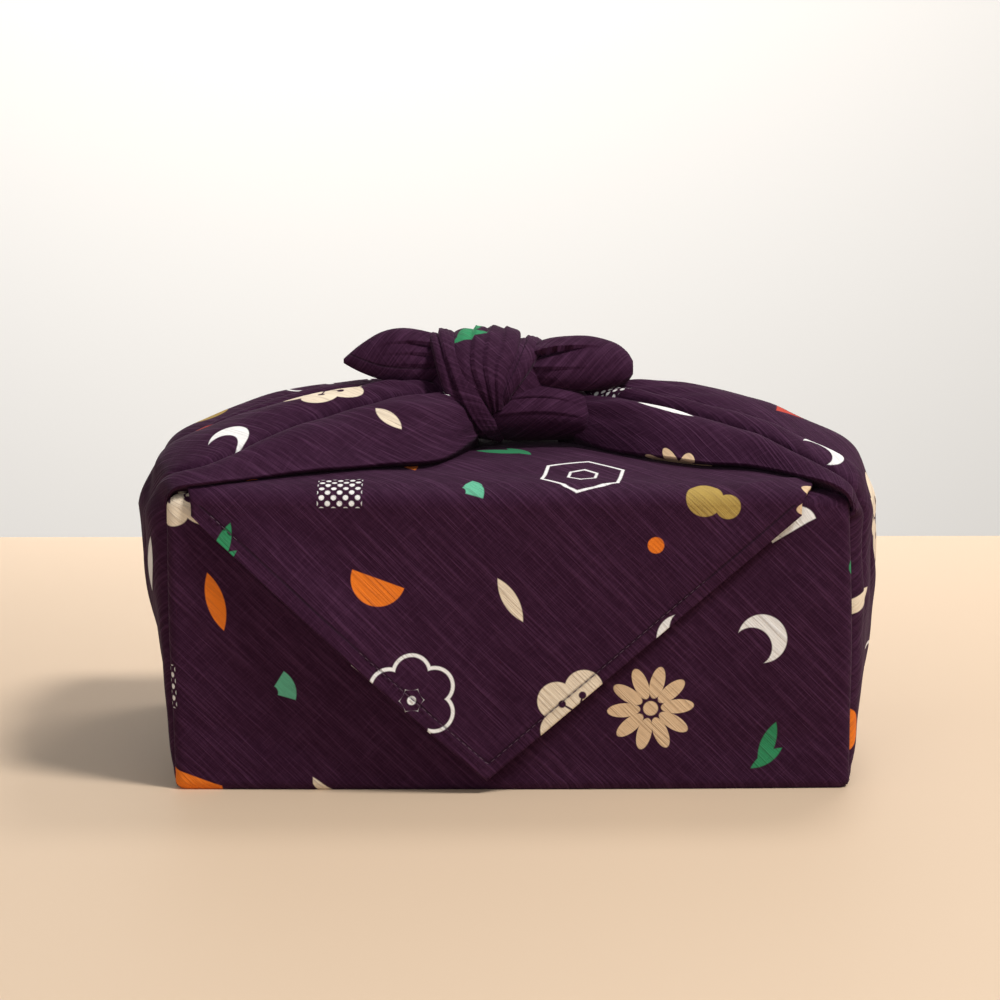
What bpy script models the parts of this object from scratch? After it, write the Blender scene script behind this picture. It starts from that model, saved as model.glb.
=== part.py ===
"""Furoshiki wrap: one square cloth carried round a long box and tied on top.

The near corner of the square goes up the front and over the top, the far corner comes over it and
hangs down the front as a pointed flap, and the left and right corners are gathered and tied in a
square knot with two short ears. It is a single cloth, so it is a single solid with the box's room
left empty inside it. Metres, +Z up, origin on the floor under the middle of the box.
"""

import math

import bmesh
import bpy
import numpy as np

CLOTH_NAME = "furoshiki_cloth"
CLOTH_COLOUR = (0.060, 0.026, 0.052, 1.0)
CLOTH_ROUGHNESS = 0.85

# The parcel, measured over the cloth
WIDTH = 0.250
DEPTH = 0.150
HEIGHT = 0.113
HALF_WIDTH = WIDTH / 2
HALF_DEPTH = DEPTH / 2

# The cloth and how its layers lie on each other
CLOTH_THICKNESS = 0.0015
LAYER_GAP = 0.0009
LAYER = CLOTH_THICKNESS + LAYER_GAP

# Rounded edges of the parcel
CORNER_RADIUS = 0.0035
TOP_RADIUS = 0.006
FRONT_BELLY = 0.0015
CROWN_HEIGHT = 0.007

# The crease beside each upright edge, where a side corner's fold stands beside the front or back
CREASE_SETBACK = 0.0050
CREASE_DEPTH = 0.0022
FOLD_STAND = 0.0022
FOLD_ROUNDING = 0.0016

# Rows of the wall, in millimetres: height, how far it is drawn in, how far it leans to the right,
# the bulge of each side, and the share of the crease
MILLIMETRE = 0.001
WALL_ROWS = [
    {"height": 0.0, "inset": 1.2, "lean": 1.6, "left": 0.0, "right": 0.0, "crease": 0.0},
    {"height": 1.4, "inset": 0.2, "lean": 1.6, "left": 0.0, "right": 0.3, "crease": 0.3},
    {"height": 6.0, "inset": 0.0, "lean": 1.5, "left": 1.0, "right": 2.0, "crease": 0.7},
    {"height": 30.0, "inset": -0.3, "lean": 1.1, "left": 4.0, "right": 8.0, "crease": 1.0},
    {"height": 55.0, "inset": -0.6, "lean": 0.7, "left": 8.5, "right": 12.5, "crease": 1.0},
    {"height": 80.0, "inset": -0.4, "lean": 0.3, "left": 12.3, "right": 14.8, "crease": 1.0},
    {"height": 100.0, "inset": 0.0, "lean": 0.0, "left": 12.6, "right": 13.6, "crease": 1.0},
]
WALL_TOP = WALL_ROWS[-1]["height"] * MILLIMETRE

# Columns along each face of the wall
FACE_STEPS = 14
ARC_STEPS = 3
SIDE_STEPS = 24

# The two flaps that cross the top
TOP_HALF_WIDTH = 0.117
UNDER_FLAP_END = 0.058
TOP_STEPS = 5
FLAP_STEPS = 6
FLAP_LEFT_EDGE = 0.1155
FLAP_RIGHT_EDGE = 0.1065
FLAP_NARROWS_FROM = -0.040
FLAP_TIP_X = -0.0081
FLAP_TIP_HEIGHT = 0.0050
FLAP_END_LENGTH = 0.004
FLAP_TIP_STAND = 0.0035
FLAP_LEFT_STAND = 0.0050

# The gathered side corners, in millimetres: each row is a section from its front edge over its
# crest to its back edge. "edge" is the height of both edges, which otherwise lie on top of the
# parcel, and "fold" is how much of the folds shows there.
EDGE_LIFT = 0.0023
CREST_FULLNESS = 2.6
ALONG_STEPS = 2
LEFT_TAIL = [
    {"front": (-124.6, -71.3), "crest": (-135.5, 4, 108.5), "back": (-125, 71), "edge": 107.0, "fold": 0.1},
    {"front": (-120.8, -74.6), "crest": (-129, 5, 118.5), "back": (-119.5, 72.5), "edge": 113.0, "fold": 0.3},
    {"front": (-108, -74), "crest": (-113, 5, 126), "back": (-105, 66), "edge": 115.2, "fold": 0.6},
    {"front": (-92, -66), "crest": (-93, 5, 132.5), "back": (-85, 55), "fold": 0.9},
    {"front": (-71, -60), "crest": (-70, 3, 137.5), "back": (-66, 43), "fold": 1.0},
    {"front": (-48, -54), "crest": (-48, -4, 140), "back": (-46, 32), "fold": 1.0},
    {"front": (-26, -48), "crest": (-29, -9, 139), "back": (-30, 20), "fold": 0.8},
    {"front": (-11, -23), "crest": (-11, -5, 136), "back": (-11, 10), "edge": 125.5, "fold": 0.3},
]
RIGHT_TAIL = [
    {"front": (125.2, -71.3), "crest": (136.5, 2, 108), "back": (125.5, 71), "edge": 107.0, "fold": 0.1},
    {"front": (121.8, -74.2), "crest": (130, 3, 117.5), "back": (120.5, 72.5), "edge": 112.6, "fold": 0.3},
    {"front": (110.5, -68), "crest": (113, 4, 125.5), "back": (106, 66), "fold": 0.6},
    {"front": (93.5, -53), "crest": (93, 5, 133), "back": (86, 56), "fold": 0.9},
    {"front": (72, -48), "crest": (71, 3, 137.5), "back": (66, 44), "fold": 1.0},
    {"front": (52, -39), "crest": (51, 0, 139), "back": (46, 32), "fold": 0.9},
    {"front": (36, -26), "crest": (36, -2, 138), "back": (34, 20), "fold": 0.6},
    {"front": (20, -13), "crest": (20, -1, 136), "back": (20, 10), "edge": 127.5, "fold": 0.2},
]
# Folds that run along a gathered corner: place across it, half-width, and height in millimetres
TAIL_FOLDS = [
    {"at": 0.15, "half_width": 0.10, "height": 6.5},
    {"at": 0.32, "half_width": 0.06, "height": -4.5},
    {"at": 0.50, "half_width": 0.09, "height": 3.2},
    {"at": 0.67, "half_width": 0.05, "height": -4.0},
    {"at": 0.83, "half_width": 0.09, "height": 4.2},
]

# The knot, in millimetres: centre line, half-width and half-thickness of each band of cloth. Each
# band lies over the knot like a saddle, so its rows go from its crest down the front, and the back
# is the same with Y reversed.
KNOT_AXIS_HEIGHT = 0.140
BAND_COLUMNS = 12
BAND_FOLD_DEPTH = 0.28
LEFT_BAND = [
    {"x": -25.0, "y": 0.0, "z": 160.6, "wide": 5.4, "thick": 3.4},
    {"x": -23.5, "y": -10.0, "z": 157.5, "wide": 5.4, "thick": 3.4},
    {"x": -20.5, "y": -18.0, "z": 149.0, "wide": 6.0, "thick": 3.4},
    {"x": -15.5, "y": -22.5, "z": 138.5, "wide": 6.2, "thick": 3.4},
    {"x": -9.0, "y": -21.0, "z": 129.0, "wide": 5.0, "thick": 3.0},
    {"x": -3.0, "y": -13.0, "z": 124.0, "wide": 3.5, "thick": 2.5},
]
MIDDLE_BAND = [
    {"x": -7.5, "y": 0.0, "z": 161.8, "wide": 13.0, "thick": 3.4},
    {"x": -8.2, "y": -11.0, "z": 158.5, "wide": 12.8, "thick": 3.4},
    {"x": -9.0, "y": -18.5, "z": 150.5, "wide": 11.0, "thick": 3.6},
    {"x": -7.0, "y": -22.0, "z": 142.5, "wide": 6.8, "thick": 3.2},
    {"x": -5.0, "y": -21.0, "z": 134.5, "wide": 3.6, "thick": 2.6},
]
RIGHT_BAND = [
    {"x": 9.0, "y": 0.0, "z": 158.0, "wide": 5.2, "thick": 3.2},
    {"x": 7.0, "y": -11.0, "z": 155.0, "wide": 5.0, "thick": 3.4},
    {"x": 3.0, "y": -18.0, "z": 148.5, "wide": 4.2, "thick": 3.4},
    {"x": -1.0, "y": -21.0, "z": 141.5, "wide": 3.0, "thick": 2.8},
    {"x": -3.0, "y": -17.5, "z": 134.0, "wide": 2.4, "thick": 2.4},
]

# Lofts that run along X: centre, half-depth and half-height of each upright section, and the
# share of a fold that runs along them
COLLAR = [
    {"x": -9.0, "y": -6.0, "z": 131.0, "deep": 12.5, "tall": 5.0, "fold": 0.0},
    {"x": -5.0, "y": -5.0, "z": 132.0, "deep": 17.5, "tall": 9.5, "fold": 0.2},
    {"x": 2.0, "y": -3.5, "z": 133.0, "deep": 20.5, "tall": 12.0, "fold": 0.3},
    {"x": 10.0, "y": -2.5, "z": 133.5, "deep": 21.5, "tall": 12.6, "fold": 0.3},
    {"x": 18.0, "y": -2.0, "z": 133.2, "deep": 21.5, "tall": 12.2, "fold": 0.2},
    {"x": 25.0, "y": -2.0, "z": 132.2, "deep": 21.0, "tall": 11.0, "fold": 0.1},
    {"x": 30.0, "y": -2.0, "z": 131.0, "deep": 19.5, "tall": 9.6, "fold": 0.0},
    {"x": 32.5, "y": -2.0, "z": 130.8, "deep": 15.0, "tall": 6.5, "fold": 0.0},
]
LEFT_EAR = [
    {"x": -12.0, "y": 0.0, "z": 148.0, "deep": 4.5, "tall": 6.0, "fold": 0.0},
    {"x": -23.0, "y": -3.0, "z": 152.5, "deep": 6.0, "tall": 8.6, "fold": 0.3},
    {"x": -32.0, "y": -4.0, "z": 153.6, "deep": 5.6, "tall": 10.8, "fold": 0.8},
    {"x": -41.0, "y": -4.0, "z": 154.3, "deep": 5.0, "tall": 11.3, "fold": 0.4},
    {"x": -49.0, "y": -3.0, "z": 154.0, "deep": 3.8, "tall": 9.8, "fold": 0.1},
    {"x": -56.5, "y": -2.0, "z": 153.0, "deep": 2.6, "tall": 6.0, "fold": 0.0},
    {"x": -61.0, "y": -1.0, "z": 152.2, "deep": 1.8, "tall": 2.9, "fold": 0.0},
    {"x": -63.5, "y": -1.0, "z": 151.8, "deep": 0.9, "tall": 0.9, "fold": 0.0},
]
RIGHT_EAR = [
    {"x": -2.0, "y": -1.0, "z": 147.0, "deep": 4.5, "tall": 5.0, "fold": 0.0},
    {"x": 7.0, "y": -6.0, "z": 150.0, "deep": 6.5, "tall": 7.5, "fold": 0.0},
    {"x": 14.5, "y": -8.5, "z": 151.2, "deep": 7.8, "tall": 9.8, "fold": 0.7},
    {"x": 21.5, "y": -8.5, "z": 151.4, "deep": 8.0, "tall": 10.9, "fold": 0.9},
    {"x": 32.0, "y": -7.0, "z": 151.4, "deep": 7.2, "tall": 11.0, "fold": 0.2},
    {"x": 41.5, "y": -6.0, "z": 150.8, "deep": 6.0, "tall": 9.0, "fold": 0.0},
    {"x": 46.5, "y": -6.0, "z": 150.0, "deep": 4.4, "tall": 6.2, "fold": 0.0},
    {"x": 48.9, "y": -6.0, "z": 149.6, "deep": 2.2, "tall": 2.8, "fold": 0.0},
]
EAR_LEAN_DEG = 18.0
EAR_COLUMNS = 16
COLLAR_COLUMNS = 18
KNOT_CORE = {"centre": (-5.0, 0.0, 141.0), "radii": (26.5, 21.3, 20.5)}


def clear_scene():
    for obj in list(bpy.data.objects):
        bpy.data.objects.remove(obj, do_unlink=True)


def collection(name):
    made = bpy.data.collections.new(name)
    bpy.context.scene.collection.children.link(made)
    return made


def cloth_material():
    made = bpy.data.materials.new("aubergine_cloth")
    made.use_nodes = True
    shader = made.node_tree.nodes["Principled BSDF"]
    shader.inputs["Base Color"].default_value = CLOTH_COLOUR
    shader.inputs["Roughness"].default_value = CLOTH_ROUGHNESS
    shader.inputs["Metallic"].default_value = 0.0
    return made


def eased(share):
    share = np.clip(share, 0.0, 1.0)
    return share * share * (3 - 2 * share)


def top_height(x, y):
    """Height of the outer cloth on top of the parcel, which is crowned under the knot."""
    across = 1 - np.minimum(1, np.abs(x) / HALF_WIDTH) ** 3
    along = 1 - np.minimum(1, np.abs(y) / HALF_DEPTH) ** 2.2
    return HEIGHT + CROWN_HEIGHT * across * along


def face_run(row):
    """The wall across the front at one height, from the left crease to the right crease."""
    half_width = HALF_WIDTH - row["inset"] * MILLIMETRE
    half_depth = HALF_DEPTH - row["inset"] * MILLIMETRE
    centre_x = half_width - CORNER_RADIUS
    centre_y = half_depth - CORNER_RADIUS
    half = [(half_width - CREASE_DEPTH * row["crease"], -half_depth + CREASE_SETBACK)]
    for turn in np.linspace(0, math.pi / 2, ARC_STEPS + 1):
        x = centre_x + CORNER_RADIUS * math.cos(turn)
        y = -centre_y - CORNER_RADIUS * math.sin(turn)
        half.append((x, y))
    flat = np.linspace(-centre_x, centre_x, FACE_STEPS + 1)[1:-1]
    belly = FRONT_BELLY * (1 - (flat / centre_x) ** 2)
    points = [(-x, y) for x, y in half]
    points += [(x, -half_depth - out) for x, out in zip(flat, belly)]
    points += half[::-1]
    return np.array([(x, y, row["height"] * MILLIMETRE) for x, y in points])


def side_run(row, bulge):
    """The wall across one side at one height, from crease to crease, bulged at its middle."""
    half_width = HALF_WIDTH - row["inset"] * MILLIMETRE
    half_depth = HALF_DEPTH - row["inset"] * MILLIMETRE - CREASE_SETBACK
    across = (1 - np.cos(np.linspace(0, math.pi, SIDE_STEPS + 1))) / 2
    y = -half_depth + 2 * half_depth * across
    risen = 1 - np.exp(-(half_depth - np.abs(y)) / FOLD_ROUNDING)
    stand = ((CREASE_DEPTH + FOLD_STAND) * risen - CREASE_DEPTH) * row["crease"]
    out = bulge * MILLIMETRE * np.sin(math.pi * across) ** 0.7
    height = np.full(len(y), row["height"] * MILLIMETRE)
    return np.stack([half_width + stand + out, y, height], axis=1)


def wall_ring(row):
    """The whole outline at one height, anticlockwise from the left front crease. Each run stops
    before the crease that the next one starts at."""
    front = face_run(row)
    right = side_run(row, row["right"])
    left = side_run(row, row["left"])
    turned = np.array([-1, -1, 1])
    ring = np.concatenate([front[:-1], right[:-1], (front * turned)[:-1], (left * turned)[:-1]])
    ring[:, 0] += row["lean"] * MILLIMETRE
    return ring


def turned_edge(radius):
    """Three steps round a rounded top edge: share of the turn, way in, and way below the top."""
    steps = []
    for share in (1 / 3, 2 / 3, 1.0):
        turn = math.pi / 2 * share
        steps.append((share, radius * (1 - math.cos(turn)), radius * (1 - math.sin(turn))))
    return steps


def rows_on_to_top(first, side, level):
    """Rows from the top of the front (side -1) or back (side 1) wall on to the parcel's top."""
    half_width = TOP_HALF_WIDTH * np.linspace(-1, 1, len(first)) * -side
    set_back = first[:, 1] - side * HALF_DEPTH
    rows = []
    for share, way_in, below in turned_edge(TOP_RADIUS):
        x = first[:, 0] + (half_width - first[:, 0]) * share
        y = side * (HALF_DEPTH - way_in) + set_back * (1 - share)
        rows.append(np.stack([x, y, np.full(len(x), level - below)], axis=1))
    return rows


def under_flap_rows(first):
    """The near corner of the cloth: over the top front edge and under the other flap."""
    rows = rows_on_to_top(first, -1, HEIGHT - LAYER)
    x = TOP_HALF_WIDTH * np.linspace(-1, 1, len(first))
    for y in np.linspace(-HALF_DEPTH + TOP_RADIUS, UNDER_FLAP_END, TOP_STEPS + 1)[1:]:
        rows.append(np.stack([x, np.full(len(x), y), top_height(x, y) - LAYER], axis=1))
    return rows


def flap_rows(first):
    """The far corner of the cloth: up the back, over the top, and down the front to its tip."""
    rows = rows_on_to_top(first, 1, HEIGHT)
    share_across = -np.linspace(-1, 1, len(first))
    edge_x = np.where(share_across < 0, FLAP_LEFT_EDGE, FLAP_RIGHT_EDGE) * share_across
    top_end = -HALF_DEPTH + TOP_RADIUS - LAYER
    for y in np.linspace(HALF_DEPTH - TOP_RADIUS, top_end, TOP_STEPS + 2)[1:]:
        narrowed = eased((FLAP_NARROWS_FROM - y) / (FLAP_NARROWS_FROM - top_end)) * 0.7
        x = TOP_HALF_WIDTH * share_across * (1 - narrowed) + edge_x * narrowed
        rows.append(np.stack([x, np.full(len(x), y), top_height(x, y)], axis=1))
    face_y = top_end - TOP_RADIUS
    for share, below, way_in in turned_edge(TOP_RADIUS):
        across = x + (edge_x - x) * share
        belly = FRONT_BELLY * (1 - (across / HALF_WIDTH) ** 2) * share
        height = np.full(len(x), HEIGHT - below)
        rows.append(np.stack([across, face_y + way_in - belly, height], axis=1))
    face_top = HEIGHT - TOP_RADIUS
    for step in range(1, FLAP_STEPS + 1):
        rows.append(flap_face_row(share_across, edge_x, step / FLAP_STEPS, face_top, face_y))
    return rows


def flap_face_row(share_across, edge_x, down, face_top, face_y):
    """One row of the pointed part that hangs on the front. Its columns stay upright, so the last
    row is the cloth's own edge: straight down to the tip from each side."""
    middle = 1 - np.abs(share_across)
    x = edge_x + FLAP_TIP_X * down * middle
    end_top = face_top - FLAP_END_LENGTH
    end_z = end_top - (end_top - FLAP_TIP_HEIGHT) * middle
    z = face_top + (end_z - face_top) * down
    left = np.clip(-share_across, 0, 1)
    stand = FLAP_TIP_STAND * eased(middle * down)
    stand += FLAP_LEFT_STAND * np.sin(math.pi * left) ** 0.8 * down**2
    belly = FRONT_BELLY * (1 - (x / HALF_WIDTH) ** 2)
    return np.stack([x, face_y - belly - stand, z], axis=1)


def fold_height(across):
    total = np.zeros_like(across)
    for fold in TAIL_FOLDS:
        total += fold["height"] * np.exp(-(((across - fold["at"]) / fold["half_width"]) ** 2))
    return total * MILLIMETRE


def tail_edge(x, y, height):
    """An edge point of a gathered corner. Without a height it lies on top of the parcel."""
    if height is None:
        return np.array([x, y, top_height(x, y) + EDGE_LIFT])
    return np.array([x, y, height * MILLIMETRE])


def tail_section(row, across):
    """One section of a gathered corner, from its front edge over its crest to its back edge."""
    front_x, front_y = row["front"]
    back_x, back_y = row["back"]
    height = row.get("edge")
    front = tail_edge(front_x * MILLIMETRE, front_y * MILLIMETRE, height)
    back = tail_edge(back_x * MILLIMETRE, back_y * MILLIMETRE, height)
    crest = np.array(row["crest"]) * MILLIMETRE
    arch = 1 - np.abs(2 * across - 1) ** CREST_FULLNESS
    line = front + (back - front) * across[:, None]
    section = line + (crest - (front + back) / 2) * arch[:, None]
    section[:, 2] += fold_height(across) * row["fold"] * arch**0.5
    return section


def through_stations(stations, steps):
    """A smooth surface through the sections, with this many steps between each pair."""
    held = [stations[0]] + list(stations) + [stations[-1]]
    rows = []
    for before, start, end, after in zip(held, held[1:], held[2:], held[3:]):
        for step in range(1, steps + 1):
            t = step / steps
            slope = (end - before) * t
            bend = (2 * before - 5 * start + 4 * end - after) * t**2
            twist = (3 * start - before - 3 * end + after) * t**3
            rows.append(0.5 * (2 * start + slope + bend + twist))
    return rows


def tail_rows(first, table):
    """A gathered side corner: from the side wall over the top edge and in to the knot."""
    front_to_back = 1 if first[0, 1] < first[-1, 1] else -1
    wall = first[::front_to_back]
    across = (wall[:, 1] - wall[0, 1]) / (wall[-1, 1] - wall[0, 1])
    stations = [wall] + [tail_section(row, across) for row in table]
    rows = through_stations(stations, ALONG_STEPS)
    return [row[::front_to_back] for row in rows]


def grid_faces(rows):
    """Quads between rows of vertex indices."""
    return [
        (low[i], low[i + 1], high[i + 1], high[i])
        for low, high in zip(rows, rows[1:])
        for i in range(len(low) - 1)
    ]


def wrap_object():
    """The cloth without its knot: floor, four walls and the four corners that go over the top."""
    points = []

    def add(row):
        start = len(points)
        points.extend(row.tolist())
        return list(range(start, len(points)))

    rings = [add(wall_ring(row)) for row in WALL_ROWS]
    faces = grid_faces([ring + ring[:1] for ring in rings])
    middle = add(np.array([[0.0, 0.0, 0.0]]))[0]
    floor = rings[0] + rings[0][:1]
    faces += [(middle, b, a) for a, b in zip(floor, floor[1:])]

    face_count = FACE_STEPS + 2 * ARC_STEPS + 2
    ring = rings[-1] + rings[-1][:1]
    top = np.array(points)
    corner = 0
    for count, rows_of in (
        (face_count, under_flap_rows),
        (SIDE_STEPS, lambda first: tail_rows(first, RIGHT_TAIL)),
        (face_count, flap_rows),
        (SIDE_STEPS, lambda first: tail_rows(first, LEFT_TAIL)),
    ):
        run = ring[corner:corner + count + 1]
        faces += grid_faces([run] + [add(row) for row in rows_of(top[run])])
        corner += count
    return mesh_object(CLOTH_NAME, points, faces)


def mesh_object(name, points, faces):
    mesh = bpy.data.meshes.new(name)
    mesh.from_pydata([tuple(p) for p in points], [], faces)
    mesh.shade_smooth()
    return bpy.data.objects.new(name, mesh)


def closed_loft(name, sections):
    """A solid through closed sections of equal count, capped at both ends."""
    count = len(sections[0])
    points = [tuple(p) for section in sections for p in section]
    rings = [list(range(i * count, (i + 1) * count)) for i in range(len(sections))]
    faces = grid_faces([ring + ring[:1] for ring in rings])
    faces += [tuple(rings[0][::-1]), tuple(rings[-1])]
    obj = mesh_object(name, points, faces)
    bm = bmesh.new()
    bm.from_mesh(obj.data)
    bmesh.ops.recalc_face_normals(bm, faces=bm.faces[:])
    bm.to_mesh(obj.data)
    bm.free()
    return obj


def knot_band(name, table):
    """A strap of gathered cloth that lies over the knot, facing away from the knot's axis."""
    table = [dict(row, y=-row["y"]) for row in table[:0:-1]] + table
    centres = np.array([(row["x"], row["y"], row["z"]) for row in table]) * MILLIMETRE
    ahead = np.gradient(centres, axis=0)
    ahead /= np.linalg.norm(ahead, axis=1)[:, None]
    sections = []
    for row, centre, along in zip(table, centres, ahead):
        outward = np.array([0.0, centre[1], centre[2] - KNOT_AXIS_HEIGHT])
        across = np.cross(along, outward)
        across /= np.linalg.norm(across)
        outward = np.cross(across, along)
        turn = np.linspace(0, 2 * math.pi, BAND_COLUMNS, endpoint=False)
        dent = 1 - BAND_FOLD_DEPTH * np.cos(2 * turn + math.pi) ** 2 * (np.sin(turn) > 0.5)
        wide = row["wide"] * MILLIMETRE * np.cos(turn)
        thick = row["thick"] * MILLIMETRE * np.sin(turn) * dent
        sections.append(centre + np.outer(wide, across) + np.outer(thick, outward))
    return closed_loft(name, sections)


def loft_along_x(name, table, columns, lean_deg, fold_at):
    """A soft body through upright oval sections, with one fold pressed into its front."""
    lean = math.radians(lean_deg)
    up = np.array([0.0, math.sin(lean), math.cos(lean)])
    out = np.array([0.0, -math.cos(lean), math.sin(lean)])
    turn = np.linspace(0, 2 * math.pi, columns, endpoint=False)
    sections = []
    for row in table:
        centre = np.array([row["x"], row["y"], row["z"]]) * MILLIMETRE
        tall = np.sin(turn) * row["tall"] * MILLIMETRE
        deep = np.cos(turn) * row["deep"] * MILLIMETRE
        near_fold = np.exp(-(((np.sin(turn) - fold_at) / 0.28) ** 2)) * (np.cos(turn) > 0)
        deep = deep * (1 - 0.75 * row["fold"] * near_fold)
        sections.append(centre + np.outer(tall, up) + np.outer(deep, out))
    return closed_loft(name, sections)


def knot_core():
    bpy.ops.mesh.primitive_uv_sphere_add(segments=16, ring_count=10, radius=1.0)
    core = bpy.context.active_object
    core.name = "knot_core"
    core.data.shade_smooth()
    sizes = list(zip(KNOT_CORE["centre"], KNOT_CORE["radii"]))
    for vertex in core.data.vertices:
        vertex.co = [(middle + radius * v) * MILLIMETRE for (middle, radius), v in zip(sizes, vertex.co)]
    for holder in list(core.users_collection):
        holder.objects.unlink(core)
    return core


def knot_pieces():
    return [
        knot_core(),
        knot_band("left_band", LEFT_BAND),
        knot_band("middle_band", MIDDLE_BAND),
        knot_band("right_band", RIGHT_BAND),
        loft_along_x("collar", COLLAR, COLLAR_COLUMNS, 0.0, 0.45),
        loft_along_x("left_ear", LEFT_EAR, EAR_COLUMNS, EAR_LEAN_DEG, -0.05),
        loft_along_x("right_ear", RIGHT_EAR, EAR_COLUMNS, EAR_LEAN_DEG, 0.30),
    ]


def main():
    clear_scene()
    shown = collection("furoshiki_wrap")
    joined = collection("joined_into_cloth")
    cloth = wrap_object()
    shown.objects.link(cloth)
    cloth.data.materials.append(cloth_material())
    wall = cloth.modifiers.new("cloth_thickness", "SOLIDIFY")
    wall.thickness = CLOTH_THICKNESS
    wall.offset = -1.0
    for piece in knot_pieces():
        joined.objects.link(piece)
        piece.hide_render = True
        piece.display_type = "WIRE"
        join = cloth.modifiers.new("join_" + piece.name, "BOOLEAN")
        join.operation = "UNION"
        join.object = piece
        join.use_self = True


main()
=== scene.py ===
"""Dresses the furoshiki wrap: a printed slub-cotton square tied round a long box."""

import math

import bmesh
import bpy
import numpy as np
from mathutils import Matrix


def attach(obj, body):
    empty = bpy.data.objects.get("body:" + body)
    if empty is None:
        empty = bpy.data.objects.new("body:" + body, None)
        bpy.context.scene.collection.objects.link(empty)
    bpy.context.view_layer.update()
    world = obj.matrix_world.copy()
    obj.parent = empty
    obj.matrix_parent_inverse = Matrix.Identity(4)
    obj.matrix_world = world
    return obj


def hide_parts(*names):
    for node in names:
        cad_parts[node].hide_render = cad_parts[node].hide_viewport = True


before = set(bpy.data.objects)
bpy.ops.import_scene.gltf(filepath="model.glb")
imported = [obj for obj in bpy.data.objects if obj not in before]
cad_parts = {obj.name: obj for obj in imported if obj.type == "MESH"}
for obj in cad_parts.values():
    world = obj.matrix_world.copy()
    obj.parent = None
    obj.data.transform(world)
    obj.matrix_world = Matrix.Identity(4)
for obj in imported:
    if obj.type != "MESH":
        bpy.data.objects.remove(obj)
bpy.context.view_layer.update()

# The camera and the light
# A long lens straight in front and a little above. A large soft light high on the right is the
# window, and three weaker ones are the room, the light on the wall and some light from over the back.
camera_data = bpy.data.cameras.new("camera")
camera_data.lens = 93.6
camera_data.sensor_width = 36.0
camera = bpy.data.objects.new("camera", camera_data)
bpy.context.scene.collection.objects.link(camera)
camera.location = (-0.0109, -1.0104, 0.2537)
camera.rotation_euler = (math.radians(90 - 8.83), 0.0, math.radians(-0.47))
bpy.context.scene.camera = camera


def soft_light(name, place, target, size, power, colour):
    data = bpy.data.lights.new(name, "AREA")
    data.shape = "DISK"
    data.size = size
    data.energy = power
    data.color = colour
    lamp = bpy.data.objects.new(name, data)
    lamp.location = place
    away = np.array(place) - np.array(target)
    tilt = math.acos(away[2] / np.linalg.norm(away))
    lamp.rotation_euler = (tilt, 0.0, math.atan2(away[1], away[0]) + math.pi / 2)
    bpy.context.scene.collection.objects.link(lamp)


soft_light("window", (1.20, -0.75, 2.20), (0.0, 0.0, 0.08), 0.60, 58.0, (1.0, 0.98, 0.95))
soft_light("room", (-0.5, -1.4, 0.7), (0.0, 0.0, 0.08), 1.0, 3.4, (0.96, 0.97, 1.0))
soft_light("wall_light", (-0.3, 1.1, 1.25), (-0.1, 2.6, 0.05), 1.6, 33.0, (1.0, 0.98, 0.96))
soft_light("skylight", (0.25, 0.32, 0.85), (0.0, 0.0, 0.14), 0.25, 2.2, (1.0, 0.98, 0.97))

room = bpy.data.worlds.new("pale_room")
room.use_nodes = True
air = room.node_tree.nodes["Background"]
air.inputs["Color"].default_value = (1.0, 0.985, 0.965, 1.0)
air.inputs["Strength"].default_value = 0.27
bpy.context.scene.world = room
bpy.context.scene.view_settings.view_transform = "Standard"

# The printed cotton
# A square of about 70 cm in dark aubergine, plain woven with slubs, so thick threads show as streaks
# along both thread directions, which lie at 45 degrees to the box. Small motifs are printed all over
# it. Each sheet below has its place on the flat square as its UV, in metres, and as an attribute
# how far it is from the cloth's edge.
AUBERGINE = (0.0235, 0.0045, 0.0185, 1.0)
LIT_THREAD = (0.100, 0.034, 0.086, 1.0)
CREAM = (0.80, 0.68, 0.52, 1.0)
TAN = (0.70, 0.50, 0.31, 1.0)
WHITE = (0.84, 0.83, 0.81, 1.0)
ORANGE = (0.80, 0.19, 0.018, 1.0)
CORAL = (0.52, 0.065, 0.040, 1.0)
GREEN = (0.030, 0.235, 0.100, 1.0)
MINT = (0.12, 0.44, 0.28, 1.0)
GOLD = (0.41, 0.28, 0.075, 1.0)
HEM_WIDTH = 0.0046
REPEAT_ACROSS = 0.268
REPEAT_ALONG = 0.224
ROW_SHIFT = 0.37
FIRST_SHIFT = 0.27


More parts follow.
